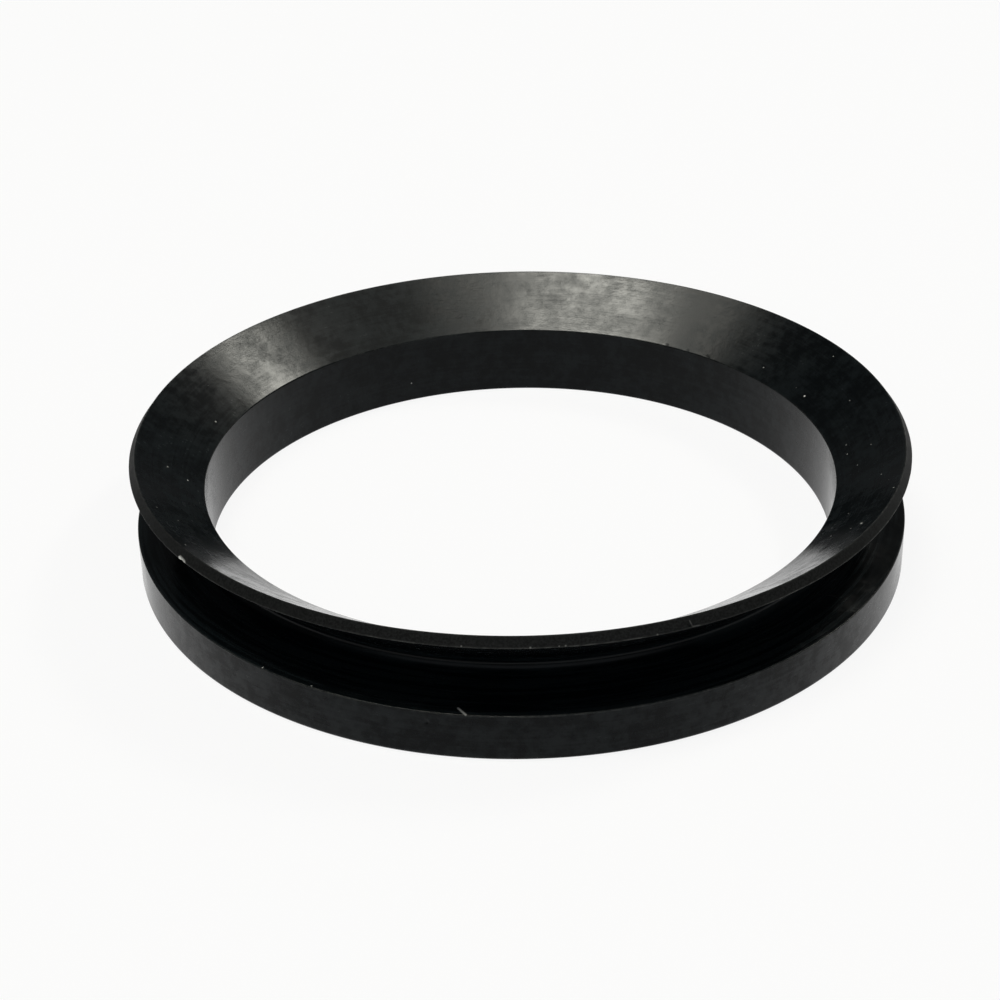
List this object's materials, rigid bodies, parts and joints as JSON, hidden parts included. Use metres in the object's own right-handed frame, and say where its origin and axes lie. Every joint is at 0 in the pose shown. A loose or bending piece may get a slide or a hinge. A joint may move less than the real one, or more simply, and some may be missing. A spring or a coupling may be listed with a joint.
{
  "type": "v-ring shaft seal",
  "caption": "One-piece black rubber V-ring seal: a plain gripping body, a V groove with a thin hinge, and a flared axial lip.",
  "frame": {"origin": "centre of the flat back face, on the shaft's axis, where the free ring stands", "axes": "+Z along the shaft, from the back towards the lip; X and Y are any two square directions, because the ring is round"},
  "size_m": [0.055, 0.055, 0.0088],
  "materials": {
    "black_rubber": "satin moulded nitrile rubber, nearly black, with faint concentric tool marks and pale dust"
  },
  "bodies": {
    "root": {"seal_ring": "black_rubber"}
  },
  "joints": []
}
